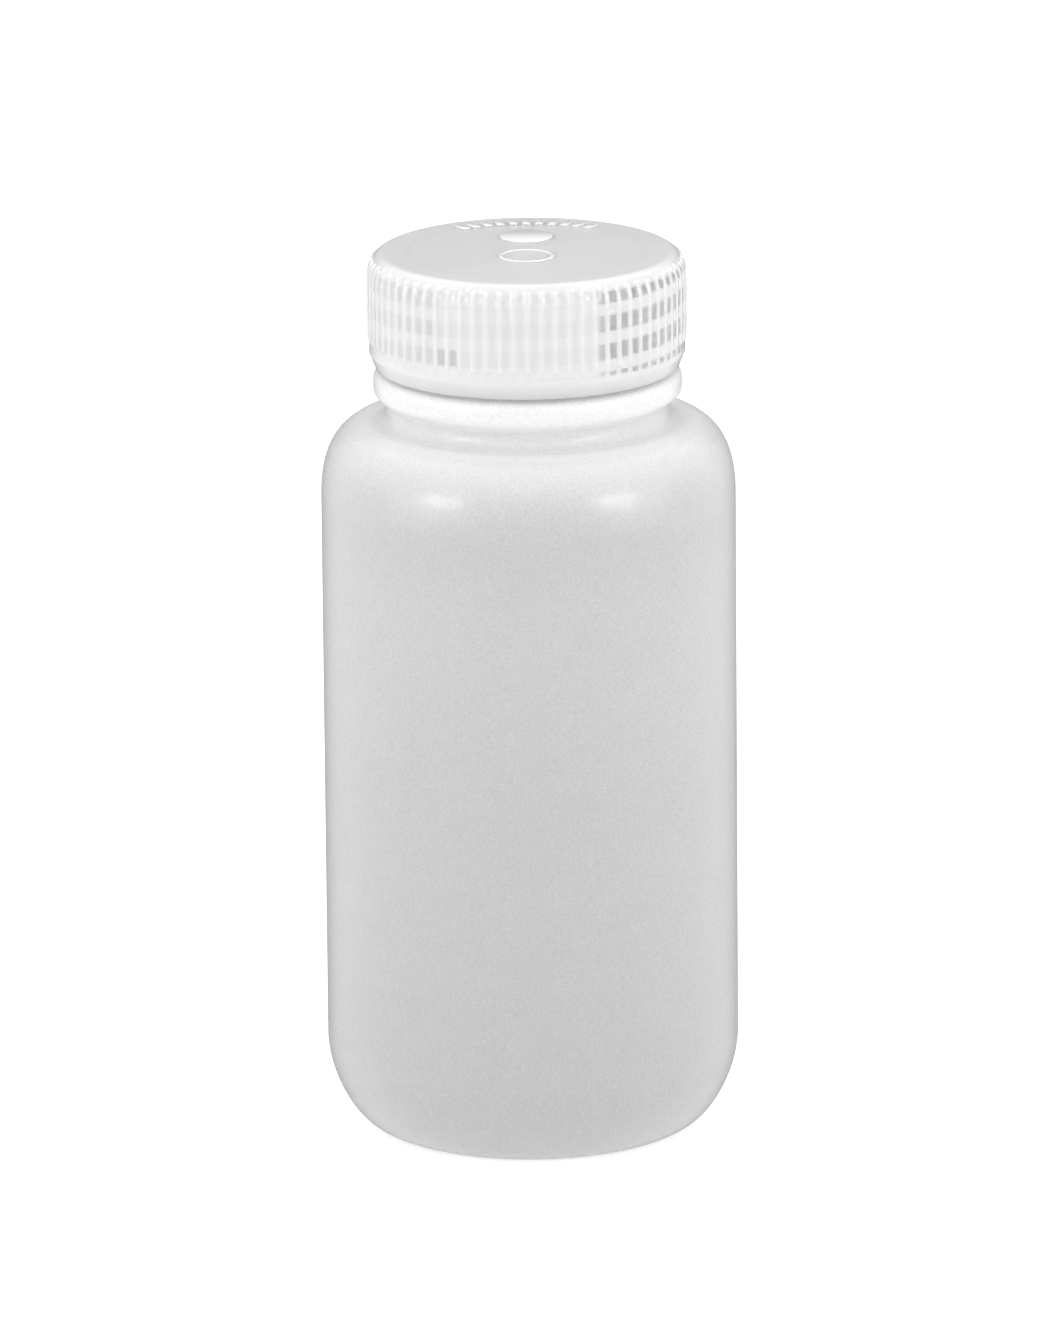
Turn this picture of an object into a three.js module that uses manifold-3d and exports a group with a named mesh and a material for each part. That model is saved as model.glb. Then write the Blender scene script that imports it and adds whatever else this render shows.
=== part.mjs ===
// Wide-mouth reagent bottle for half a litre: a blow-moulded bottle with a threaded neck, a
// ribbed screw closure with a matching inside thread, and a plug seal held in the closure.
// Millimetres, +Z up. The origin is the centre of the base, on the surface the bottle stands on.
import * as THREE from "three";
import { mergeVertices } from "three/addons/utils/BufferGeometryUtils.js";
import Module from "manifold-3d";

const wasm = await Module();
wasm.setup();

// ---- Driving dimensions ----
const SEGMENTS = 48; // facets round each turned surface
const QUARTER_FULLNESS = 0.552; // control points this far along make a quarter of an ellipse

// Bottle body
const BODY_RADIUS = 37;
const WALL = 1.2;
const STAND_OUTER_RADIUS = 27.4; // the flat ring that it stands on
const STAND_INNER_RADIUS = 23.5;
const PUNT_RISE = 2.6; // how far the middle of the base is pushed up
const PUNT_FLAT_RADIUS = 17.5; // about this far out the middle of the base starts to fall
const CORNER_HEIGHT = 16.4; // of the rounded lower corner
const CORNER_FULLNESS = 0.465;
const SHOULDER_START = 116;
const SHOULDER_END = 129.8;
const SHOULDER_END_RADIUS = 27;
const SHOULDER_FULLNESS = 0.657;

// Bottle neck
const BORE_RADIUS = 22.2;
const NECK_RADIUS = 24.9;
const GROOVE_HEIGHT = 132.2; // middle of the groove between the shoulder and the bead
const BEAD_RADIUS = 27.5;
const BEAD_LOW_EDGE = 135.6; // the bead's narrow flat crest lies between its two edges
const BEAD_HIGH_EDGE = 137.2;
const BEAD_TOP = 139.2;
const GROOVE_EASE = 1.6; // length of the control arms where the groove runs out into the bead
const LIP_HEIGHT = 157.5;
const LIP_CHAMFER = 0.6;

// Thread, right-handed, on the neck and inside the closure
const PITCH = 5.08;
const THREAD_DEPTH = 1.4;
const THREAD_ROOT_HALF_WIDTH = 1.1;
const THREAD_CREST_HALF_WIDTH = 0.5;
const THREAD_RUNOUT = Math.PI / 6; // angle over which a thread fades out at each end
const THREAD_FOOT = 0.3; // how far its foot is sunk into the wall
const NECK_THREAD_TURNS = 1.9;
const NECK_THREAD_TOP = 155; // centre of the thread at its upper end
const NECK_THREAD_TOP_ANGLE = THREE.MathUtils.degToRad(164);
const FLANK_OFFSET = 1.75; // the closure's thread lies this far under the neck's
const CLOSURE_THREAD_TURNS = 2.45;
const CLOSURE_THREAD_LEAD = THREE.MathUtils.degToRad(196); // it runs on this far past the neck's

// Closure
const CLOSURE_BOTTOM = 139.6;
const CLOSURE_INNER_RADIUS = 26.65;
const SKIRT_RADIUS = 28.15; // between the ribs
const RIB_RADIUS = 28.5;
const RIB_COUNT = 72;
const RIB_BOTTOM = 144.4;
const RIB_TOP = 158.8;
const CHAMFER_TOP = 142.2;
const EDGE_RADIUS = 27.15; // of the lower edge, under the chamfer
const CORNER_BOTTOM = 156.4; // where the skirt turns into the top
const TOP_RADIUS = 25.3;
const TOP_HEIGHT = 160.2;
const CROWN = 0.3;
const PLATE_UNDERSIDE = 158.8;
const RETAINER_RADIUS = 25.3; // the small ring that holds the plug seal in
const RETAINER_BOTTOM = 156.7;
const RETAINER_TOP = 157.35;
const RETAINER_BEVEL = 0.2;

// Plain raised marks on top of the closure: a disc, a ring and a row of dashes
const MARK_RELIEF = 0.35; // above the edge of the top
const MARK_FOOT = 0.4; // how far the disc and the ring are sunk into the top
const MARK_CROWN = 0.2; // what the marks near the middle gain from the crown under them
const DISC_RADIUS = 4.7;
const DISC_Y = 9.3;
const RING_RADIUS = 5;
const RING_WIDTH = 0.9;
const RING_Y = -5.5;
const DASH_COUNT = 11;
const DASH_SIZE = [1.5, 3.2, 0.8];
const DASH_CROWN = 0.1; // what the dashes gain from the crown
const DASH_ORBIT = 20.4;
const DASH_STEP = THREE.MathUtils.degToRad(6.8);

// Plug seal
const SEAL_RADIUS = 25.8;
const SEAL_BOTTOM = 157.65;
const SEAL_TOP = 158.65;
const PLUG_RADIUS = 21.85;
const PLUG_TIP_RADIUS = 21.4;
const PLUG_INNER_RADIUS = 20.5;
const PLUG_DEPTH = 5;

// ---- Helpers ----

// Turns an (r, z) outline about Z. The outline starts and ends on the axis, or closes on itself.
function turned(points, segments = SEGMENTS) {
  return new THREE.LatheGeometry(points, segments).rotateX(Math.PI / 2);
}

// Adds a quarter turn from where the path is to (r, z), leaving along `first` ("r" or "z").
function corner(path, r, z, fullness, first) {
  const { x: r0, y: z0 } = path.currentPoint;
  const [dr, dz] = [(r - r0) * fullness, (z - z0) * fullness];
  if (first === "z") path.bezierCurveTo(r0, z0 + dz, r - dr, z, r, z);
  else path.bezierCurveTo(r0 + dr, z0, r, z - dz, r, z);
  return path;
}

// A closed solid through rings that all have the same number of points.
function lofted(rings) {
  const size = rings[0].length;
  const index = [];
  for (let k = 0; k < rings.length - 1; k++)
    for (let i = 0; i < size; i++) {
      const [a, b] = [k * size + i, k * size + ((i + 1) % size)];
      index.push(a, b, b + size, a, b + size, a + size);
    }
  const last = (rings.length - 1) * size;
  for (let i = 1; i < size - 1; i++) {
    index.push(0, i + 1, i);
    index.push(last, last + i, last + i + 1);
  }
  return new THREE.BufferGeometry()
    .setFromPoints(rings.flat())
    .setIndex(index);
}

// One thread: a tapered ridge that climbs a right-handed helix and fades out at both ends.
// It grows from rootRadius by `depth`, which is negative for an inside thread.
function thread(rootRadius, depth, topAngle, topHeight, turns) {
  const embed = THREAD_FOOT * Math.sign(depth);
  const length = turns * 2 * Math.PI;
  const steps = Math.round(turns * SEGMENTS);
  const rings = [];
  for (let k = 0; k <= steps; k++) {
    const along = (length * k) / steps;
    const angle = topAngle - length + along;
    const z = topHeight - ((length - along) / (2 * Math.PI)) * PITCH;
    const toEnd = Math.min(along, length - along);
    const height = depth * THREE.MathUtils.smoothstep(toEnd, -0.1, THREAD_RUNOUT);
    const [foot, crest] = [rootRadius - embed, rootRadius + height];
    const at = (r, dz) => new THREE.Vector3(r * Math.cos(angle), r * Math.sin(angle), z + dz);
    const ring = [
      at(foot, -THREAD_ROOT_HALF_WIDTH),
      at(crest, -THREAD_CREST_HALF_WIDTH),
      at(crest, THREAD_CREST_HALF_WIDTH),
      at(foot, THREAD_ROOT_HALF_WIDTH),
    ];
    rings.push(depth > 0 ? ring.reverse() : ring);
  }
  return lofted(rings);
}

// A three.js geometry as a solid that can be cut and joined.
function solid(geometry) {
  const bare = geometry.clone();
  bare.deleteAttribute("normal");
  bare.deleteAttribute("uv");
  const merged = mergeVertices(bare, 1e-4);
  const mesh = new wasm.Mesh({
    numProp: 3,
    vertProperties: merged.attributes.position.array,
    triVerts: Uint32Array.from(merged.index.array),
  });
  return new wasm.Manifold(mesh);
}

// A solid as a three.js geometry again.
function geometryOf(made) {
  const { numProp, vertProperties, triVerts } = made.getMesh();
  const geometry = new THREE.BufferGeometry()
    .setAttribute("position", new THREE.BufferAttribute(vertProperties, numProp))
    .setIndex(new THREE.BufferAttribute(triVerts, 1));
  geometry.computeVertexNormals();
  return geometry;
}

function node(name, geometry, material) {
  const mesh = new THREE.Mesh(geometry, material);
  mesh.name = name;
  return mesh;
}

// ---- Bottle: body, shoulder, bead and neck are one blow-moulded piece ----

function bottleOutside() {
  const path = new THREE.Path().moveTo(0, PUNT_RISE);
  path.quadraticCurveTo(PUNT_FLAT_RADIUS, PUNT_RISE, STAND_INNER_RADIUS, 0);
  path.lineTo(STAND_OUTER_RADIUS, 0);
  corner(path, BODY_RADIUS, CORNER_HEIGHT, CORNER_FULLNESS, "r");
  path.lineTo(BODY_RADIUS, SHOULDER_START);
  corner(path, SHOULDER_END_RADIUS, SHOULDER_END, SHOULDER_FULLNESS, "z");
  path.quadraticCurveTo(NECK_RADIUS, SHOULDER_END + 0.4, NECK_RADIUS, GROOVE_HEIGHT);
  path.bezierCurveTo(
    NECK_RADIUS, GROOVE_HEIGHT + GROOVE_EASE,
    BEAD_RADIUS, BEAD_LOW_EDGE - GROOVE_EASE,
    BEAD_RADIUS, BEAD_LOW_EDGE,
  );
  path.lineTo(BEAD_RADIUS, BEAD_HIGH_EDGE);
  corner(path, NECK_RADIUS, BEAD_TOP, QUARTER_FULLNESS, "z");
  path.lineTo(NECK_RADIUS, LIP_HEIGHT - LIP_CHAMFER);
  path.lineTo(NECK_RADIUS - LIP_CHAMFER, LIP_HEIGHT);
  return path;
}

// From the lip down the bore and round the inside of the wall to the axis.
function bottleInside() {
  const path = new THREE.Path().moveTo(BORE_RADIUS, LIP_HEIGHT);
  path.lineTo(BORE_RADIUS, GROOVE_HEIGHT + WALL);
  const shoulderIn = SHOULDER_END_RADIUS - 2 * WALL;
  path.quadraticCurveTo(BORE_RADIUS, SHOULDER_END - WALL, shoulderIn, SHOULDER_END - WALL);
  corner(path, BODY_RADIUS - WALL, SHOULDER_START - WALL, SHOULDER_FULLNESS, "r");
  path.lineTo(BODY_RADIUS - WALL, CORNER_HEIGHT);
  corner(path, STAND_OUTER_RADIUS - WALL, WALL, CORNER_FULLNESS, "z");
  path.lineTo(STAND_INNER_RADIUS + WALL, WALL);
  path.quadraticCurveTo(PUNT_FLAT_RADIUS, PUNT_RISE + WALL, 0, PUNT_RISE + WALL);
  return path;
}

function bottle() {
  const outline = [...bottleOutside().getPoints(7), ...bottleInside().getPoints(6)];
  const neckThread = thread(
    NECK_RADIUS, THREAD_DEPTH, NECK_THREAD_TOP_ANGLE, NECK_THREAD_TOP, NECK_THREAD_TURNS,
  );
  return geometryOf(solid(turned(outline)).add(solid(neckThread)));
}

// ---- Closure: ribbed cap with an inside thread and a ring that retains the seal ----

function closureShell() {
  const path = new THREE.Path().moveTo(0, TOP_HEIGHT + CROWN);
  path.quadraticCurveTo(TOP_RADIUS / 2, TOP_HEIGHT + CROWN, TOP_RADIUS, TOP_HEIGHT);
  corner(path, SKIRT_RADIUS, CORNER_BOTTOM, QUARTER_FULLNESS, "r");
  path.lineTo(SKIRT_RADIUS, CHAMFER_TOP);
  path.lineTo(EDGE_RADIUS, CLOSURE_BOTTOM);
  path.lineTo(CLOSURE_INNER_RADIUS, CLOSURE_BOTTOM);
  path.lineTo(CLOSURE_INNER_RADIUS, RETAINER_BOTTOM);
  path.lineTo(RETAINER_RADIUS, RETAINER_BOTTOM + RETAINER_BEVEL);
  path.lineTo(RETAINER_RADIUS, RETAINER_TOP - RETAINER_BEVEL);
  path.lineTo(CLOSURE_INNER_RADIUS, RETAINER_TOP);
  path.lineTo(CLOSURE_INNER_RADIUS, PLATE_UNDERSIDE);
  path.lineTo(0, PLATE_UNDERSIDE);
  return turned(path.getPoints(4).reverse(), RIB_COUNT);
}

// The ring of grip ribs, rounded over at the top like the shell's own corner.
function gripRibs() {
  const foot = CLOSURE_INNER_RADIUS + 0.25;
  const outline = new THREE.Shape();
  for (let i = 0; i < 2 * RIB_COUNT; i++) {
    const angle = (i * Math.PI) / RIB_COUNT;
    const radius = i % 2 ? RIB_RADIUS : SKIRT_RADIUS - 0.05;
    const [x, y] = [radius * Math.cos(angle), radius * Math.sin(angle)];
    if (i) outline.lineTo(x, y);
    else outline.moveTo(x, y);
  }
  outline.holes.push(new THREE.Path().absarc(0, 0, foot, 0, 2 * Math.PI, true));
  const options = {
    depth: RIB_TOP - RIB_BOTTOM,
    bevelEnabled: false,
    curveSegments: SEGMENTS / 2,
  };
  const ring = new THREE.ExtrudeGeometry(outline, options).translate(0, 0, RIB_BOTTOM);
  const limit = new THREE.Path().moveTo(0, RIB_BOTTOM - 1).lineTo(RIB_RADIUS, RIB_BOTTOM);
  limit.lineTo(RIB_RADIUS, CORNER_BOTTOM);
  corner(limit, TOP_RADIUS, TOP_HEIGHT, QUARTER_FULLNESS, "z");
  limit.lineTo(0, TOP_HEIGHT);
  return solid(ring).intersect(solid(turned(limit.getPoints(5), RIB_COUNT)));
}

function plate(outline) {
  const options = {
    depth: MARK_FOOT + MARK_RELIEF + MARK_CROWN,
    bevelEnabled: false,
    curveSegments: 12,
  };
  const raised = new THREE.ExtrudeGeometry(outline, options);
  return solid(raised.translate(0, 0, TOP_HEIGHT - MARK_FOOT));
}

function raisedMarks() {
  const disc = (y, radius) => new THREE.Shape().absarc(0, y, radius, 0, 2 * Math.PI);
  const ring = disc(RING_Y, RING_RADIUS);
  const hole = new THREE.Path().absarc(0, RING_Y, RING_RADIUS - RING_WIDTH, 0, 2 * Math.PI, true);
  ring.holes.push(hole);
  const marks = [plate(disc(DISC_Y, DISC_RADIUS)), plate(ring)];
  for (let i = 0; i < DASH_COUNT; i++) {
    const dash = new THREE.BoxGeometry(...DASH_SIZE)
      .translate(0, DASH_ORBIT, TOP_HEIGHT + MARK_RELIEF + DASH_CROWN - DASH_SIZE[2] / 2)
      .rotateZ((i - (DASH_COUNT - 1) / 2) * DASH_STEP);
    marks.push(solid(dash));
  }
  return marks;
}

function closure() {
  const insideThread = thread(
    CLOSURE_INNER_RADIUS,
    -THREAD_DEPTH,
    NECK_THREAD_TOP_ANGLE + CLOSURE_THREAD_LEAD,
    NECK_THREAD_TOP + (CLOSURE_THREAD_LEAD / (2 * Math.PI)) * PITCH - FLANK_OFFSET,
    CLOSURE_THREAD_TURNS,
  );
  const pieces = [gripRibs(), solid(insideThread), ...raisedMarks()];
  return geometryOf(pieces.reduce((made, piece) => made.add(piece), solid(closureShell())));
}

// ---- Plug seal: a soft disc on the lip, with a ring that enters the bore ----

function plugSeal() {
  const tip = SEAL_BOTTOM - PLUG_DEPTH;
  const path = new THREE.Path().moveTo(0, SEAL_TOP).lineTo(SEAL_RADIUS, SEAL_TOP);
  path.lineTo(SEAL_RADIUS, SEAL_BOTTOM);
  path.lineTo(PLUG_RADIUS, SEAL_BOTTOM);
  path.lineTo(PLUG_RADIUS, SEAL_BOTTOM - PLUG_DEPTH / 2);
  path.lineTo(PLUG_TIP_RADIUS, tip);
  path.lineTo(PLUG_INNER_RADIUS, tip);
  path.lineTo(PLUG_INNER_RADIUS, SEAL_BOTTOM);
  path.lineTo(0, SEAL_BOTTOM);
  return turned(path.getPoints(1).reverse());
}

const polyethylene = new THREE.MeshStandardMaterial({
  color: 0xdfe3e6, roughness: 0.45, metalness: 0, transparent: true, opacity: 0.8,
});
const polypropylene = new THREE.MeshStandardMaterial({
  color: 0xe9ecee, roughness: 0.35, metalness: 0, transparent: true, opacity: 0.7,
});
const sealPolyethylene = new THREE.MeshStandardMaterial({
  color: 0xf1f2f2, roughness: 0.5, metalness: 0,
});

const reagentBottle = new THREE.Group();
reagentBottle.add(
  node("bottle", bottle(), polyethylene),
  node("closure", closure(), polypropylene),
  node("plug_seal", plugSeal(), sealPolyethylene),
);

export default reagentBottle;
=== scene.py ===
"""A half-litre wide-mouth reagent bottle of translucent polyethylene with its ribbed screw closure on.

Every length in the shapes below is in millimetres in the frame of the CAD model: +Z up along the axis, the
origin at the centre of the base.
"""
import math

import bpy
import numpy as np
from mathutils import Matrix, Vector


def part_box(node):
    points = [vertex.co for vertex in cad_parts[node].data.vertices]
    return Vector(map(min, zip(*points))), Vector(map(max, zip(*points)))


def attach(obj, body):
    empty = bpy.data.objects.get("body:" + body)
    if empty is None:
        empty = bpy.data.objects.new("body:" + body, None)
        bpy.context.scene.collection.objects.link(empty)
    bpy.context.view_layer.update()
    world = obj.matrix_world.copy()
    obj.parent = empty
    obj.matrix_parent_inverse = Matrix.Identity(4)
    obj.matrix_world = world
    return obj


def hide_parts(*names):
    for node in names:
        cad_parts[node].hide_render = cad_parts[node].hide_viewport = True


MM = 0.001

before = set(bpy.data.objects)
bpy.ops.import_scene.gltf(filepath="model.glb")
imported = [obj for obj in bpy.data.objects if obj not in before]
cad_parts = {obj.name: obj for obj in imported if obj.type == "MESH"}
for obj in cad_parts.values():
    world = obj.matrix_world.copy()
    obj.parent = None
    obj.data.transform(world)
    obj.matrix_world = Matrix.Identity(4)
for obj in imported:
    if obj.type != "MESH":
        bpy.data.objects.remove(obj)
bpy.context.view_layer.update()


def node_mm(name):
    """The lowest and highest corner of a CAD node at rest, in millimetres."""
    low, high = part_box(name)
    return [v / MM for v in low], [v / MM for v in high]


# ---- Driving dimensions, shared with the CAD model ----
BOTTLE_LOW, BOTTLE_HIGH = node_mm("bottle")
CLOSURE_LOW, CLOSURE_HIGH = node_mm("closure")
SEAL_LOW, SEAL_HIGH = node_mm("plug_seal")

BODY_R = BOTTLE_HIGH[0]
LIP_Z = BOTTLE_HIGH[2]
WALL = 1.2
STAND_R = (23.5, 27.4)
PUNT_RISE = 2.6
PUNT_HANDLES = ((11.7, PUNT_RISE), (19.5, 1.73))
PUNT_FOOT = (STAND_R[0] - 0.3, 0.06)
INNER_PUNT_HANDLES = ((STAND_R[1] - WALL - 6, WALL), (10, PUNT_RISE + WALL))
CORNER_Z = 16.4
SHOULDER_Z = 116.0
SHOULDER_END = (27.0, 129.8)
INNER_SHOULDER_END = (SHOULDER_END[0] - 2 * WALL, SHOULDER_END[1] - WALL)
NECK_R = 24.9
NECK_HANDLES = ((25.6, 130.07), (NECK_R, 130.8))
BORE_R = 22.2
BORE_HANDLES = ((BORE_R, 130.1), (22.9, SHOULDER_END[1] - WALL))
GROOVE_Z = 132.2
GROOVE_EASE = 1.6
BEAD_R = 27.5
BEAD_EDGES = (135.6, 137.2)
BEAD_TOP = 139.2
BEAD_FOOT = 0.15
LIP_OUT_ROUND = 0.6
LIP_IN_ROUND = 0.4
PITCH = 5.08
THREAD_DEPTH = 1.4
THREAD_HALF = (1.1, 0.5)  # half widths at its root and at its crest

# Each thread's top end, as an angle and a height, and its turns. The closure's runs below the neck's.
NECK_THREAD = (math.radians(164), 155.0, 1.9)
LEAD = math.radians(196)
THREAD_GAP = 1.75
LEAD_RISE = LEAD / (2 * math.pi) * PITCH
CLOSURE_THREAD = (NECK_THREAD[0] + LEAD, NECK_THREAD[1] + LEAD_RISE - THREAD_GAP, 2.45)

# Two parting lines of the mould run up the outside of the bottle
SEAM_ANGLES = (math.radians(-102), math.radians(78))
SEAM_WIDTH = 0.22
SEAM_HEIGHT = 0.03
SEAM_Z = (3, 16, 129)  # starts, is full, ends

RIB_R = CLOSURE_HIGH[0]
RIB_COUNT = 72
RIB_FLANK = (0.40, 0.85)
RIB_FADE_Z = (159.0, 159.35)
SKIRT_R = 28.15
CLOSURE_Z = CLOSURE_LOW[2]
CLOSURE_IN_R = 26.65
EDGE_R = 27.15
EDGE_BEVEL = 0.1
CHAMFER_Z = 142.2
CHAMFER_SOFT = (0.1, 0.2, 0.3)  # in from the skirt, below the edge, above the edge
RIB_LOW_Z = 144.4
CORNER_LOW_Z = 156.4
RETAINER_R = 25.3
RETAINER_Z = (156.6, 156.95, 157.1, 157.35)
TOP_R = 25.3
TOP_Z = 160.2
CROWN = 0.3
CROWN_HANDLES = ((TOP_R - 4, TOP_Z + 0.12), (8, TOP_Z + CROWN))
PLATE_Z = 158.8

SEAL_R = SEAL_HIGH[0]
SEAL_DISC = 1
PLUG_R = (20.5, 21.85)
PLUG_TIP = (0.3, 0.75)  # how far the tip's flat keeps from the plug's inside and outside
SEAL_BEVEL = 0.2

# How far a rounded corner's handles reach, as a share of the corner
ROUND = 0.552
BASE_FULLNESS = 0.465
SHOULDER_FULLNESS = 0.657

# Points round each turned piece
BOTTLE_COLUMNS = 240
COLUMNS_PER_RIB = 8
SEAL_COLUMNS = 192

# Plain raised marks on top of the closure: a disc, a ring and a row of dashes
DISC_Y, DISC_R = 9.3, 4.7
HOOP_Y, HOOP_R, HOOP_WIDTH = -5.5, 4.55, 0.9
DASH_COUNT = 11
DASH_SIZE = (1.5, 3.2)
DASH_ORBIT = 20.4
DASH_STEP = math.radians(6.8)
DASH_ROUND = 0.35
DASH_SINK = 0.1  # the crown is lower out there
MARK_HIGH = CLOSURE_HIGH[2] - 0.02
MARK_BEVEL = 0.12


# ---- Curves in (r, z) ----
def bezier(p0, p1, p2, p3, count):
    """Points along a cubic from p0 to p3, without p0."""
    t = np.linspace(0, 1, count + 1)[1:, None]
    p0, p1, p2, p3 = (np.array(p, float) for p in (p0, p1, p2, p3))
    return (1 - t) ** 3 * p0 + 3 * (1 - t) ** 2 * t * p1 + 3 * (1 - t) * t**2 * p2 + t**3 * p3


def corner(start, end, fullness, first, count):
    """A quarter turn from start to end, leaving along r or z."""
    (r0, z0), (r1, z1) = start, end
    dr, dz = (r1 - r0) * fullness, (z1 - z0) * fullness
    if first == "z":
        return bezier(start, (r0, z0 + dz), (r1 - dr, z1), end, count)
    return bezier(start, (r0 + dr, z0), (r1, z1 - dz), end, count)


def straight(start, end, step):
    """Points from start to end, at most step apart, without start."""
    start, end = np.array(start, float), np.array(end, float)
    count = max(1, math.ceil(np.linalg.norm(end - start) / step - 1e-6))
    return start + (end - start) * np.linspace(0, 1, count + 1)[1:, None]


def outline(*parts):
    """Joins points and runs of points into one profile."""
    return np.vstack([np.atleast_2d(np.array(p, float)) for p in parts])


# ---- Meshes ----
def smoothstep(low, high, value):
    t = np.clip((value - low) / (high - low), 0, 1)
    return t * t * (3 - 2 * t)


def angles(columns):
    return np.arange(columns) * 2 * math.pi / columns


def turned(name, profile, columns, radius=None):
    """A closed body of revolution.

    The profile runs from the axis to the axis with the solid on its left as seen in (r, z), and
    radius(angle, r, z) may push each point in or out.
    """
    r, z = profile[1:-1, 0][:, None], profile[1:-1, 1][:, None]
    a = angles(columns)[None, :]
    rr = r + 0 * a if radius is None else radius(a, r, z)
    x, y, zz = rr * np.cos(a), rr * np.sin(a), z + 0 * a
    points = np.stack([x, y, zz], axis=-1).reshape(-1, 3)
    rows = len(profile) - 2
    points = np.vstack([points, [0, 0, profile[0, 1]], [0, 0, profile[-1, 1]]]) * MM
    i = np.arange(rows - 1)[:, None] * columns
    j, k = np.arange(columns)[None, :], (np.arange(columns) + 1)[None, :] % columns
    quads = np.stack([i + j, i + k, i + columns + k, i + columns + j], axis=-1).reshape(-1, 4)
    first, last = rows * columns, rows * columns + 1
    top = (rows - 1) * columns
    fans = [(first, int(b), int(c)) for b, c in zip(k[0], j[0])]
    fans += [(last, top + int(b), top + int(c)) for b, c in zip(j[0], k[0])]
    return mesh_object(name, points, quads.tolist() + fans)


def mesh_object(name, points, faces):
    mesh = bpy.data.meshes.new(name)
    mesh.from_pydata(np.asarray(points).tolist(), [], faces)
    mesh.validate()
    mesh.shade_smooth()
    made = bpy.data.objects.new(name, mesh)
    bpy.context.scene.collection.objects.link(made)
    return made


def thread_height(angle, z, top_angle, top_z, turns):
    """How far a right-handed thread stands out of its wall at each angle and height."""
    length = turns * 2 * math.pi
    height = np.zeros(np.broadcast(angle, z).shape)
    root, crest = THREAD_HALF
    for turn in range(-1, math.ceil(turns) + 2):
        behind = (top_angle - angle) % (2 * math.pi) + turn * 2 * math.pi
        centre = top_z - behind / (2 * math.pi) * PITCH
        to_end = np.minimum(behind, length - behind)
        fade = smoothstep(-0.05, math.pi / 6, to_end)
        flank = 1 - smoothstep(crest * 0.7, root * 1.05, np.abs(z - centre))
        height = np.maximum(height, THREAD_DEPTH * fade * flank)
    return height


def bottle():
    out = outline(
        (0, PUNT_RISE),
        bezier((0, PUNT_RISE), *PUNT_HANDLES, PUNT_FOOT, 24),
        (STAND_R[0], 0.01),
        straight((STAND_R[0], 0), (STAND_R[1], 0), 0.8),
        corner((STAND_R[1], 0), (BODY_R, CORNER_Z), BASE_FULLNESS, "r", 40),
        straight((BODY_R, CORNER_Z), (BODY_R, SHOULDER_Z), 4),
        corner((BODY_R, SHOULDER_Z), SHOULDER_END, SHOULDER_FULLNESS, "z", 48),
        bezier(SHOULDER_END, *NECK_HANDLES, (NECK_R, GROOVE_Z), 10),
        bezier(
            (NECK_R, GROOVE_Z), (NECK_R, GROOVE_Z + GROOVE_EASE),
            (BEAD_R, BEAD_EDGES[0] - GROOVE_EASE), (BEAD_R, BEAD_EDGES[0]), 14,
        ),
        straight((BEAD_R, BEAD_EDGES[0]), (BEAD_R, BEAD_EDGES[1]), 0.3),
        corner((BEAD_R, BEAD_EDGES[1]), (NECK_R + BEAD_FOOT, BEAD_TOP), ROUND, "z", 10),
        (NECK_R, BEAD_TOP + BEAD_FOOT),
        straight((NECK_R, BEAD_TOP + BEAD_FOOT), (NECK_R, LIP_Z - LIP_OUT_ROUND), 0.17),
        corner((NECK_R, LIP_Z - LIP_OUT_ROUND), (NECK_R - LIP_OUT_ROUND, LIP_Z), ROUND, "z", 6),
        straight((NECK_R - LIP_OUT_ROUND, LIP_Z), (BORE_R + LIP_IN_ROUND, LIP_Z), 0.6),
        corner((BORE_R + LIP_IN_ROUND, LIP_Z), (BORE_R, LIP_Z - LIP_IN_ROUND), ROUND, "r", 5),
        straight((BORE_R, LIP_Z - LIP_IN_ROUND), (BORE_R, GROOVE_Z + WALL), 3),
        bezier((BORE_R, GROOVE_Z + WALL), *BORE_HANDLES, INNER_SHOULDER_END, 12),
        corner(INNER_SHOULDER_END, (BODY_R - WALL, SHOULDER_Z - WALL), SHOULDER_FULLNESS, "r", 24),
        straight((BODY_R - WALL, SHOULDER_Z - WALL), (BODY_R - WALL, CORNER_Z), 3),
        corner((BODY_R - WALL, CORNER_Z), (STAND_R[1] - WALL, WALL), BASE_FULLNESS, "z", 18),
        bezier((STAND_R[1] - WALL, WALL), *INNER_PUNT_HANDLES, (0, PUNT_RISE + WALL), 16),
    )
    seam_start, seam_full, seam_end = SEAM_Z

    def radius(a, r, z):
        # the thread only stands out of the neck's outside
        neck = (np.abs(r - NECK_R) < 1e-6) & (z > BEAD_TOP)
        made = r + np.where(neck, thread_height(a, z, *NECK_THREAD), 0)
        off = [((a - seam + math.pi) % (2 * math.pi) - math.pi) * BODY_R for seam in SEAM_ANGLES]
        seams = sum(np.exp(-((arc / SEAM_WIDTH) ** 2)) for arc in off)
        skin = (r > BEAD_R + 0.5) & (z > seam_start) & (z < seam_end)
        return made + np.where(skin, SEAM_HEIGHT * seams * smoothstep(seam_start, seam_full, z), 0)

    return turned("bottle_shell", out, BOTTLE_COLUMNS, radius)


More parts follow.
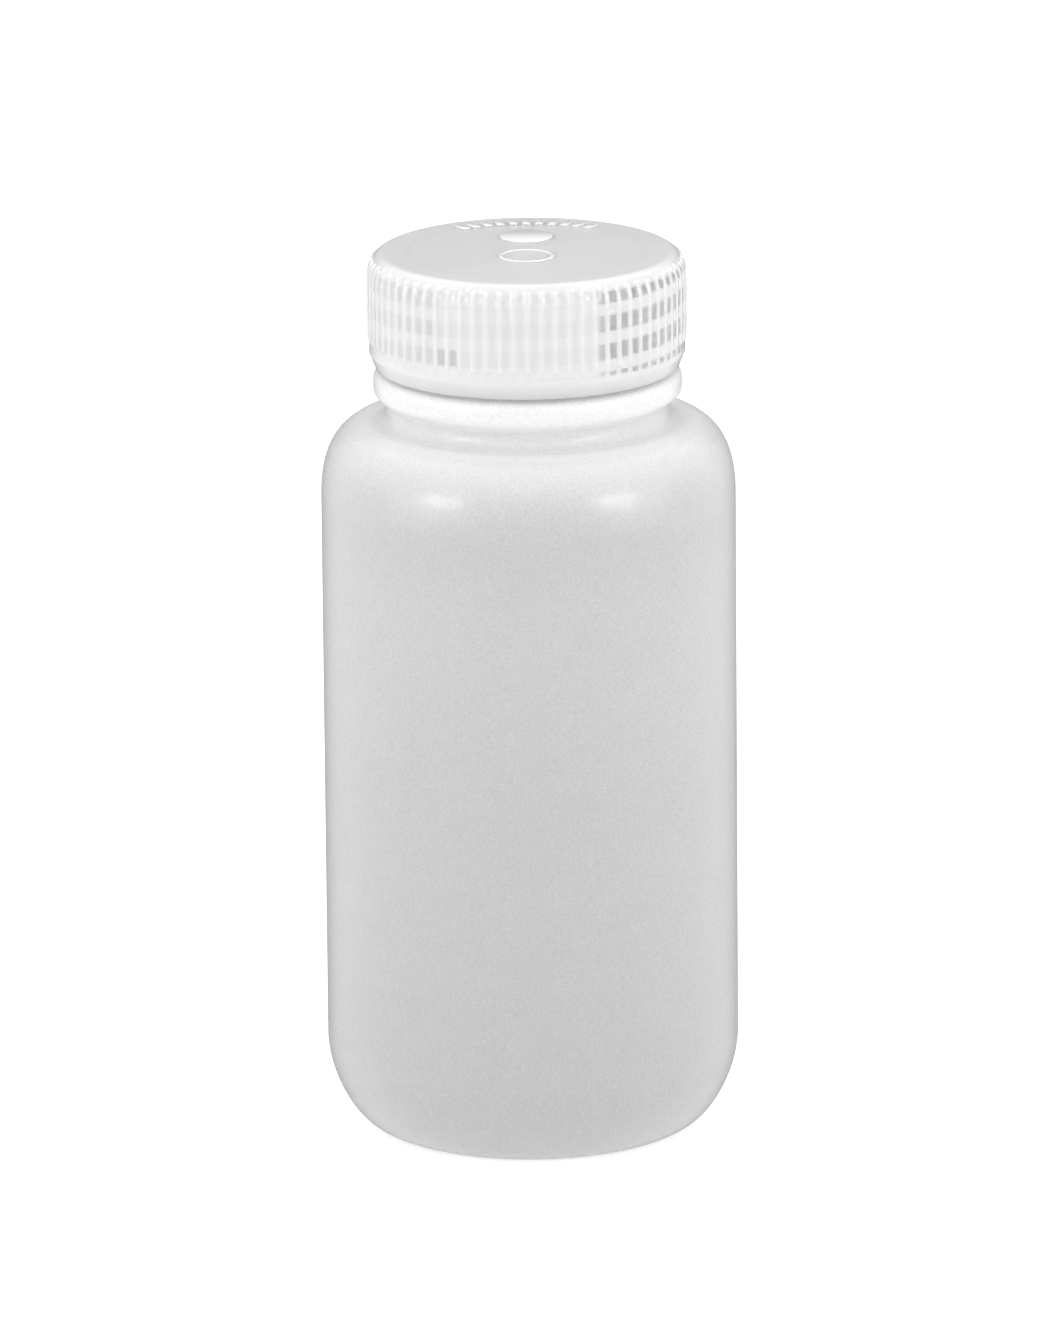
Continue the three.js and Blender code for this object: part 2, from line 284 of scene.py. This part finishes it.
def closure():
    ring_low, ring_lower, ring_upper, ring_top = RETAINER_Z
    soft_in, soft_below, soft_above = CHAMFER_SOFT
    chamfer_end = (SKIRT_R - soft_in, CHAMFER_Z - soft_below)
    band_start = (SKIRT_R, CHAMFER_Z + soft_above)
    out = outline(
        (0, PLATE_Z),
        straight((0, PLATE_Z), (CLOSURE_IN_R, PLATE_Z), 2),
        straight((CLOSURE_IN_R, PLATE_Z), (CLOSURE_IN_R, ring_top), 0.4),
        corner((CLOSURE_IN_R, ring_top), (RETAINER_R, ring_upper), ROUND, "r", 5),
        corner((RETAINER_R, ring_lower), (CLOSURE_IN_R, ring_low), ROUND, "z", 5),
        straight((CLOSURE_IN_R, ring_low), (CLOSURE_IN_R, CLOSURE_Z + EDGE_BEVEL), 0.25),
        (CLOSURE_IN_R + EDGE_BEVEL, CLOSURE_Z),
        (EDGE_R - 0.12, CLOSURE_Z),
        (EDGE_R, CLOSURE_Z + EDGE_BEVEL),
        straight((EDGE_R, CLOSURE_Z + EDGE_BEVEL), chamfer_end, 0.5),
        bezier(chamfer_end, (SKIRT_R, CHAMFER_Z), (SKIRT_R, CHAMFER_Z), band_start, 4),
        straight(band_start, (SKIRT_R, RIB_LOW_Z - 0.4), 0.5),
        straight((SKIRT_R, RIB_LOW_Z - 0.4), (SKIRT_R, RIB_LOW_Z + 0.8), 0.15),
        straight((SKIRT_R, RIB_LOW_Z + 0.8), (SKIRT_R, CORNER_LOW_Z), 1.2),
        corner((SKIRT_R, CORNER_LOW_Z), (TOP_R, TOP_Z), ROUND, "z", 26),
        bezier((TOP_R, TOP_Z), *CROWN_HANDLES, (0, TOP_Z + CROWN), 16),
    )

    def radius(a, r, z):
        bore = (np.abs(r - CLOSURE_IN_R) < 1e-6) & (z < ring_low + 0.01) & (z > CLOSURE_Z + EDGE_BEVEL / 2)
        made = r - np.where(bore, thread_height(a, z, *CLOSURE_THREAD), 0)
        phase = (a * RIB_COUNT / (2 * math.pi)) % 1
        ridge = smoothstep(*RIB_FLANK, 0.5 + 0.5 * np.cos(2 * math.pi * phase))
        # the ribs start just above the chamfer and run up over the rounded top edge
        along = smoothstep(RIB_LOW_Z - 0.3, RIB_LOW_Z + 0.6, z) * (1 - smoothstep(*RIB_FADE_Z, z))
        outside = (r > TOP_R + 0.05) & (z > CHAMFER_Z + soft_above) & (r > CLOSURE_IN_R + 0.01)
        return made + np.where(outside, (RIB_R - SKIRT_R) * ridge * along, 0)

    return turned("closure_shell", out, RIB_COUNT * COLUMNS_PER_RIB, radius)


def mark(outline_at, low, high, edge=MARK_BEVEL):
    """Points and faces of a low plate with a rounded rim. Its outline, moved in, is outline_at(inset)."""
    levels = [(0, low), (0, high - edge), (0.3 * edge, high - 0.3 * edge), (edge, high)]
    rings = [np.column_stack([outline_at(inset), np.full(len(outline_at(inset)), z)]) for inset, z in levels]
    count = len(rings[0])
    faces = [tuple(reversed(range(count))), tuple(range((len(levels) - 1) * count, len(levels) * count))]
    for i in range(len(levels) - 1):
        for j in range(count):
            k = (j + 1) % count
            faces.append((i * count + j, i * count + k, (i + 1) * count + k, (i + 1) * count + j))
    return np.vstack(rings), faces


def circle(y, radius):
    """A circle on the closure's top, its centre y out from the axis."""
    a = angles(96)
    return np.column_stack([radius * np.cos(a), y + radius * np.sin(a)])


def dash_outline(turn, inset):
    """A rounded rectangle out on the dashes' orbit, turned about the closure's axis."""
    half = np.array(DASH_SIZE) / 2 - inset
    r = DASH_ROUND - inset
    points = []
    for quarter in range(4):
        centre = (half - r) * [(1, 1), (-1, 1), (-1, -1), (1, -1)][quarter]
        for a in np.linspace(0, math.pi / 2, 5) + quarter * math.pi / 2:
            points.append(centre + r * np.array([math.cos(a), math.sin(a)]))
    x, y = np.array(points).T
    y = y + DASH_ORBIT
    return np.column_stack([x * math.cos(turn) - y * math.sin(turn), x * math.sin(turn) + y * math.cos(turn)])


def hoop(y, radius, width, low, high, edge=MARK_BEVEL):
    """Points and faces of a low ring with bevelled edges."""
    half = width / 2
    section = [(-half, low), (half, low), (half, high - edge), (half - edge, high)]
    section += [(edge - half, high), (-half, high - edge)]
    count = len(circle(y, radius))
    rings = [np.column_stack([circle(y, radius + dr), np.full(count, z)]) for dr, z in section]
    faces = []
    for i in range(len(section)):
        below, above = i * count, (i + 1) % len(section) * count
        for j in range(count):
            k = (j + 1) % count
            faces.append((below + j, below + k, above + k, above + j))
    return np.vstack(rings), faces


def top_marks():
    """The marks on top of the closure, sunk into its crown."""
    shapes = [
        mark(lambda inset: circle(DISC_Y, DISC_R - inset), TOP_Z, MARK_HIGH),
        hoop(HOOP_Y, HOOP_R, HOOP_WIDTH, TOP_Z, MARK_HIGH),
    ]
    low, high = TOP_Z - DASH_SINK, MARK_HIGH - DASH_SINK
    for i in range(DASH_COUNT):
        turn = (i - (DASH_COUNT - 1) / 2) * DASH_STEP
        shapes.append(mark(lambda inset, turn=turn: dash_outline(turn, inset), low, high))
    points, faces = [], []
    for shape_points, shape_faces in shapes:
        start = sum(len(p) for p in points)
        points.append(shape_points)
        faces += [tuple(start + i for i in face) for face in shape_faces]
    return mesh_object("top_marks", np.vstack(points) * MM, faces)


def plug_seal():
    low, high = SEAL_LOW[2], SEAL_HIGH[2]
    disc_low = high - SEAL_DISC
    plug_in, plug_r = PLUG_R
    tip_in, tip_out = plug_in + PLUG_TIP[0], plug_r - PLUG_TIP[1]
    out = outline(
        (0, disc_low),
        straight((0, disc_low), (plug_in - 0.4, disc_low), 2),
        corner((plug_in - 0.4, disc_low), (plug_in, disc_low - 0.4), ROUND, "r", 4),
        straight((plug_in, disc_low - 0.4), (plug_in, low + SEAL_BEVEL), 1),
        corner((plug_in, low + SEAL_BEVEL), (tip_in, low), ROUND, "z", 4),
        straight((tip_in, low), (tip_out, low), 0.4),
        corner((tip_out, low), (plug_r - 0.4, low + 0.4), ROUND, "r", 4),
        # the outside tapers in towards the tip
        bezier(
            (plug_r - 0.4, low + 0.4), (plug_r - 0.1, low + 1.4), (plug_r, low + 1.9),
            (plug_r, low + 2.5), 6,
        ),
        straight((plug_r, low + 2.5), (plug_r, disc_low - 0.1), 0.8),
        (plug_r + 0.1, disc_low),
        straight((plug_r + 0.1, disc_low), (SEAL_R - SEAL_BEVEL, disc_low), 0.8),
        corner((SEAL_R - SEAL_BEVEL, disc_low), (SEAL_R, disc_low + SEAL_BEVEL), ROUND, "r", 4),
        (SEAL_R, high - SEAL_BEVEL),
        corner((SEAL_R, high - SEAL_BEVEL), (SEAL_R - SEAL_BEVEL, high), ROUND, "z", 4),
        straight((SEAL_R - SEAL_BEVEL, high), (0, high), 2.5),
    )
    return turned("seal_insert", out, SEAL_COLUMNS)


# ---- Materials ----
class Graph:
    """Short ways to add nodes to one node tree."""

    def __init__(self, owner):
        owner.use_nodes = True
        self.nodes, self.links = owner.node_tree.nodes, owner.node_tree.links

    def put(self, value, socket):
        """Links a socket to value, or sets it where value is a number."""
        if isinstance(value, (int, float)):
            socket.default_value = value
        else:
            self.links.new(value, socket)

    def math(self, operation, *values):
        made = self.nodes.new("ShaderNodeMath")
        made.operation = operation
        for value, socket in zip(values, made.inputs):
            self.put(value, socket)
        return made.outputs["Value"]

    def ramp(self, source, start, end, low, high):
        """Goes smoothly from low to high while source goes from start to end."""
        made = self.nodes.new("ShaderNodeMapRange")
        made.interpolation_type = "SMOOTHSTEP"
        for value, socket in zip((source, start, end, low, high), made.inputs):
            self.put(value, socket)
        return made.outputs["Result"]

    def product(self, *values):
        made = values[0]
        for value in values[1:]:
            made = self.math("MULTIPLY", made, value)
        return made

    def noise(self, vector, size_mm, detail=2):
        made = self.nodes.new("ShaderNodeTexNoise")
        made.inputs["Scale"].default_value = 1 / (size_mm * MM)
        made.inputs["Detail"].default_value = detail
        self.links.new(vector, made.inputs["Vector"])
        return made.outputs["Fac"]

    def grey(self, value):
        made = self.nodes.new("ShaderNodeCombineColor")
        for socket in made.inputs:
            self.put(value, socket)
        return made.outputs["Color"]


def place_of(graph):
    """The surface point in the bottle's frame: the vector, its three parts and its angle round the axis."""
    coords = graph.nodes.new("ShaderNodeTexCoord").outputs["Object"]
    split = graph.nodes.new("ShaderNodeSeparateXYZ")
    graph.links.new(coords, split.inputs["Vector"])
    x, y, z = split.outputs
    return coords, x, y, z, graph.math("ARCTAN2", y, x)


def by_length(graph, length, stops):
    """A value that follows a length, such as the height: stops lists (length in mm, value)."""
    value = stops[0][1]
    for (low, _), (high, following) in zip(stops, stops[1:]):
        value = graph.ramp(length, low * MM, high * MM, value, following)
    return value


def near(graph, angle, centre, fade, peak):
    """A mask round one side: fade holds the cosines of the angles off centre where it starts and is full."""
    off = graph.math("COSINE", graph.math("SUBTRACT", angle, centre))
    return graph.ramp(off, *fade, 0, peak)


def plastic(name, roughness, scatter_mm):
    """The start of a natural, milky plastic: its material, its graph and its shader."""
    mat = bpy.data.materials.new(name)
    graph = Graph(mat)
    shader = graph.nodes["Principled BSDF"]
    shader.inputs["Roughness"].default_value = roughness
    shader.inputs["IOR"].default_value = 1.5
    shader.inputs["Subsurface Weight"].default_value = 1
    shader.inputs["Subsurface Radius"].default_value = (1, 1, 1)
    shader.inputs["Subsurface Scale"].default_value = scatter_mm * MM
    return mat, graph, shader


def bumped(graph, height, strength):
    bump = graph.nodes.new("ShaderNodeBump")
    bump.inputs["Distance"].default_value = 0.1 * MM
    graph.put(strength, bump.inputs["Strength"])
    graph.put(height, bump.inputs["Height"])
    return bump.outputs["Normal"]


CLOUD_MM, CLOUD = 11, 0.015


def finish(graph, shader, coords, grey, grain_mm, grain, speckle):
    """Colour with cloudiness and a fine speckle, and a fine moulded grain on the surface."""
    cloud = graph.ramp(graph.noise(coords, CLOUD_MM), 0.3, 0.7, 1 - CLOUD, 1)
    dots = graph.ramp(graph.noise(coords, grain_mm), 0.3, 0.7, 1 - speckle, 1)
    graph.put(graph.grey(graph.product(grey, cloud, dots)), shader.inputs["Base Color"])
    graph.put(bumped(graph, graph.noise(coords, grain_mm), grain), shader.inputs["Normal"])


# Heights in mm and how grey or clear the bottle is there; the grey is partly the plastic, paler where it is
# thick at the neck, and partly painted shading along the height, with the fillet under the neck painted pale
# against its shade
BOTTLE_GREY_AND_PAINTED_SHADE = (
    (0, 0.76), (14, 0.715), (60, 0.765), (102, 0.835), (116, 0.8), (122, 0.765), (127, 0.775),
    (128.8, 0.81), (130, 0.985),
)
BOTTLE_CLEAR = ((126, 0.15), (134, 0.08))
BOTTLE_GLITTER = ((102, 1), (113, 0.12))


def polyethylene():
    """The bottle: thick, pale plastic at the neck, and a thinner, greyer wall below it, with shading painted
    into its grey along the height.
    """
    mat, graph, shader = plastic("natural_polyethylene", 0.26, 5)
    shader.inputs["Coat Weight"].default_value = 0.5
    shader.inputs["Coat Roughness"].default_value = 0.17
    coords, _, _, z, _ = place_of(graph)
    graph.put(by_length(graph, z, BOTTLE_CLEAR), shader.inputs["Transmission Weight"])
    # the grey along the height holds painted shading and a fillet under the neck painted pale against its
    # shade
    finish(graph, shader, coords, by_length(graph, z, BOTTLE_GREY_AND_PAINTED_SHADE), 0.42, 0.5, 0.1)
    # the walls are grainy enough to glitter, while the shoulder is smoother
    glitter = bumped(graph, graph.noise(coords, 0.45, 1), by_length(graph, z, BOTTLE_GLITTER))
    graph.put(glitter, shader.inputs["Coat Normal"])
    return mat


# The closure's masks, as lengths in mm or as cosines
RIBS = (-0.2, 0.6)
THREADS = (-0.1, 0.5)
LOW_BAND = ((142.8, 1), (143.6, 0))
HIGH_EDGE = ((158.0, 0), (158.6, 1))
MARKS = ((160.52, 0), (160.6, 1))
# a painted shadow of the plug: a darker ring on the closure's top over it
PLUG_SHADOW_RING = (((20.3, 0), (20.8, 1)), ((21.4, 1), (21.9, 0)))
# painted shade on the rounded rim and the flat top, which face up into the light
TOP_PAINTED_SHADE = ((156.8, 1), (158.0, 0.88), (159.8, 0.87), (160.2, 0.79))

# The skirt came out of the mould clearest on one side, a little clear on the other and in one spot; on those
# two sides its grey is also painted darker, as painted shade seen through the wall
CLEAR_SIDE = math.radians(-30)
HAZY_SIDE = math.radians(-155)
SIDE_FADE = (0.80, 0.88)
CLEAR_SPOT = math.radians(-120)
SPOT_FADE = (0.994, 0.998)
SPOT_TOP = ((148.0, 1), (148.5, 0))
MILKY, CLEAR = 0.15, 0.6


def polypropylene():
    """The closure: whiter in the threads inside it and clearer on its sides, with painted shade on its flat
    top and rim, on its ribs, between its threads, on its clearer sides and in a ring over the plug.
    """
    mat, graph, shader = plastic("natural_polypropylene", 0.28, 3)
    shader.inputs["Coat Weight"].default_value = 0.8
    shader.inputs["Coat Roughness"].default_value = 0.08
    coords, x, y, z, angle = place_of(graph)

    ribs = graph.ramp(graph.math("COSINE", graph.math("MULTIPLY", angle, float(RIB_COUNT))), *RIBS, 0, 1)
    top_angle, top_z, _ = CLOSURE_THREAD
    start = (top_z - top_angle / (2 * math.pi) * PITCH) * MM
    climb = graph.math("MULTIPLY", graph.math("SUBTRACT", z, start), 2 * math.pi / (PITCH * MM))
    threads = graph.ramp(graph.math("COSINE", graph.math("SUBTRACT", climb, angle)), *THREADS, 0, 1)
    low_band = by_length(graph, z, LOW_BAND)
    ends = graph.math("ADD", low_band, by_length(graph, z, HIGH_EDGE))
    marks = by_length(graph, z, MARKS)

    side = graph.math(
        "MAXIMUM", near(graph, angle, CLEAR_SIDE, SIDE_FADE, 1), near(graph, angle, HAZY_SIDE, SIDE_FADE, 0.4)
    )
    spot = graph.product(near(graph, angle, CLEAR_SPOT, SPOT_FADE, 0.6), by_length(graph, z, SPOT_TOP))
    thin_clear = graph.ramp(graph.math("MAXIMUM", side, spot), 0, 1, MILKY, CLEAR)
    thick = graph.math("MAXIMUM", graph.math("MAXIMUM", ribs, threads), ends)
    clear = graph.ramp(thick, 0, 1, thin_clear, MILKY)
    graph.put(graph.ramp(marks, 0, 1, clear, 0), shader.inputs["Transmission Weight"])
    graph.put(graph.ramp(marks, 0, 1, 1, 0), shader.inputs["Subsurface Weight"])

    across = graph.math("SQRT", graph.math("ADD", graph.product(x, x), graph.product(y, y)))
    # the ring over the plug where its shadow is painted into the top
    plug = graph.product(*(by_length(graph, across, edge) for edge in PLUG_SHADOW_RING))
    skirt = graph.ramp(ends, 0, 1, 1, 0)
    grey = graph.product(
        # lighter on the threads and the low band, where the wall is thick; the darker rows between the
        # threads are painted shade of the gap behind the wall
        graph.ramp(graph.math("MAXIMUM", threads, low_band), 0, 1, 0.93, 0.97),
        # painted shade: the ribs are greyer to tone down the light they catch
        graph.ramp(graph.product(ribs, skirt), 0, 1, 1, 0.965),
        # painted shade: the skirt's grey is darker on its clearer sides
        graph.ramp(graph.product(side, skirt), 0, 1, 1, 0.95),
        graph.ramp(plug, 0, 1, 1, 0.97),
        # painted shade on the rim and top
        by_length(graph, z, TOP_PAINTED_SHADE),
    )
    finish(graph, shader, coords, graph.ramp(marks, 0, 1, grey, 0.8), 0.4, 0.2, 0.01)
    return mat


def seal_polyethylene():
    mat, graph, shader = plastic("seal_polyethylene", 0.4, 3)
    shader.inputs["Transmission Weight"].default_value = 0.2
    coords, _, _, z, _ = place_of(graph)
    finish(graph, shader, coords, by_length(graph, z, ((150, 0.93), (159, 0.95))), 0.5, 0.3, 0.02)
    return mat


closure_mat = polypropylene()
for make, mat, node, body, slot in (
    (bottle, polyethylene(), "bottle", "bottle_body", "bottle_polyethylene"),
    (closure, closure_mat, "closure", "closure_body", "closure_polypropylene"),
    (top_marks, closure_mat, None, "closure_body", "closure_polypropylene"),
    (plug_seal, seal_polyethylene(), "plug_seal", "seal_body", "seal_polyethylene"),
):
    piece = make()
    piece.data.materials.append(mat)
    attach(piece, body)
    if node:
        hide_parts(node)

# ---- Stage, light and camera ----
FLOOR_HALF = 4
FLOOR_GLOW = 0.3
DIM_LIGHT = 0.78
SIDE_LIGHT = 0.95
TOP_LIGHT = 0.7
LOW_LIGHT = 0.12
BACK_SHARE = 0.42
LIGHT_TARGET = Vector((0, 0, 0.09))
CAMERA_ELEVATION = math.radians(15.24)
CAMERA_DISTANCE = 2.302
CAMERA_ROLL = math.radians(0.5)
CAMERA_LENS = 349.4
CAMERA_TARGET = Vector((0, 0, 0.0844))

scene = bpy.context.scene
scene.view_settings.view_transform = "Standard"
scene.cycles.diffuse_bounces = 12  # light reaches the pale groove of the neck only after many


def stage():
    """A large white floor. It doesn't light the bottle: the world below the horizon does that."""
    corners = [(x * FLOOR_HALF, y * FLOOR_HALF, 0) for x, y in ((-1, -1), (1, -1), (1, 1), (-1, 1))]
    floor = bpy.data.meshes.new("floor")
    floor.from_pydata(corners, [], [(0, 1, 2, 3)])
    floor_object = bpy.data.objects.new("floor", floor)
    scene.collection.objects.link(floor_object)
    mat = bpy.data.materials.new("floor")
    mat.use_nodes = True
    shader = mat.node_tree.nodes["Principled BSDF"]
    shader.inputs["Base Color"].default_value = (0.95, 0.95, 0.95, 1)
    shader.inputs["Roughness"].default_value = 0.9
    shader.inputs["Specular IOR Level"].default_value = 0.1
    shader.inputs["Emission Color"].default_value = (1, 1, 1, 1)
    shader.inputs["Emission Strength"].default_value = FLOOR_GLOW
    floor.materials.append(mat)
    floor_object.visible_diffuse = False
    floor_object.visible_glossy = False


def studio():
    """A pale room: bright above and to both sides, dimmer in front of the bottle, and dark far behind it."""
    world = bpy.data.worlds.new("studio")
    scene.world = world
    graph = Graph(world)
    split = graph.nodes.new("ShaderNodeSeparateXYZ")
    graph.put(graph.nodes.new("ShaderNodeTexCoord").outputs["Generated"], split.inputs["Vector"])
    x, y, z = split.outputs
    sides = graph.ramp(graph.math("ABSOLUTE", x), 0.2, 0.9, DIM_LIGHT, SIDE_LIGHT)
    sides = graph.product(sides, graph.ramp(y, 0.65, 0.95, 1, BACK_SHARE))
    above = graph.ramp(z, 0.15, 0.9, 0, TOP_LIGHT)
    below = graph.ramp(z, -0.9, -0.1, LOW_LIGHT, 0)
    light = graph.math("ADD", sides, graph.math("ADD", above, below))
    graph.put(light, graph.nodes["Background"].inputs["Strength"])
    graph.nodes["Background"].inputs["Color"].default_value = (1, 1, 1, 1)


def lamp(name, azimuth, elevation, distance, size, power):
    """An area light aimed at the bottle, azimuth counted from the camera's side towards +X."""
    a, e = math.radians(azimuth), math.radians(elevation)
    data = bpy.data.lights.new(name, "AREA")
    data.shape = "RECTANGLE"
    data.size, data.size_y = size
    data.energy = power
    made = bpy.data.objects.new(name, data)
    towards = Vector((math.sin(a) * math.cos(e), -math.cos(a) * math.cos(e), math.sin(e)))
    made.location = LIGHT_TARGET + distance * towards
    made.rotation_euler = (LIGHT_TARGET - made.location).to_track_quat("-Z", "Y").to_euler()
    scene.collection.objects.link(made)
    return made


def lamps():
    shiny = bpy.data.collections.new("shiny")
    shiny.objects.link(bpy.data.objects["closure_shell"])
    for side, sign in (("left", -1), ("right", 1)):
        lamp(side + "_softbox", sign * 50, 17, 1.3, (0.5, 0.34), 2.1)
        lamp(side + "_card", sign * 62, 8, 0.45, (0.25, 0.2), 0.12)
        # these only show as glints in the closure's gloss
        for name, azimuth, elevation, width, power in (
            ("_overhead", 65, 56, 0.34, 2.4),
            ("_rear", 134, 21, 0.3, 0.9),
        ):
            glint = lamp(side + name, sign * azimuth, elevation, 1.0, (width, 0.04), power)
            glint.visible_diffuse = False
            glint.light_linking.receiver_collection = shiny
    # this lights the bottle's back, where the world is dark, without showing in the gloss
    lamp("back_fill", 180, 12, 1.3, (0.7, 0.3), 2.4).visible_glossy = False


def camera():
    data = bpy.data.cameras.new("camera")
    data.sensor_width = 36
    data.lens = CAMERA_LENS
    made = bpy.data.objects.new("camera", data)
    back = Vector((0, -math.cos(CAMERA_ELEVATION), math.sin(CAMERA_ELEVATION)))
    turn = (-back).to_track_quat("-Z", "Y").to_matrix().to_4x4() @ Matrix.Rotation(-CAMERA_ROLL, 4, "Z")
    made.matrix_world = Matrix.Translation(CAMERA_TARGET + CAMERA_DISTANCE * back) @ turn
    scene.collection.objects.link(made)
    scene.camera = made


stage()
studio()
lamps()
camera()
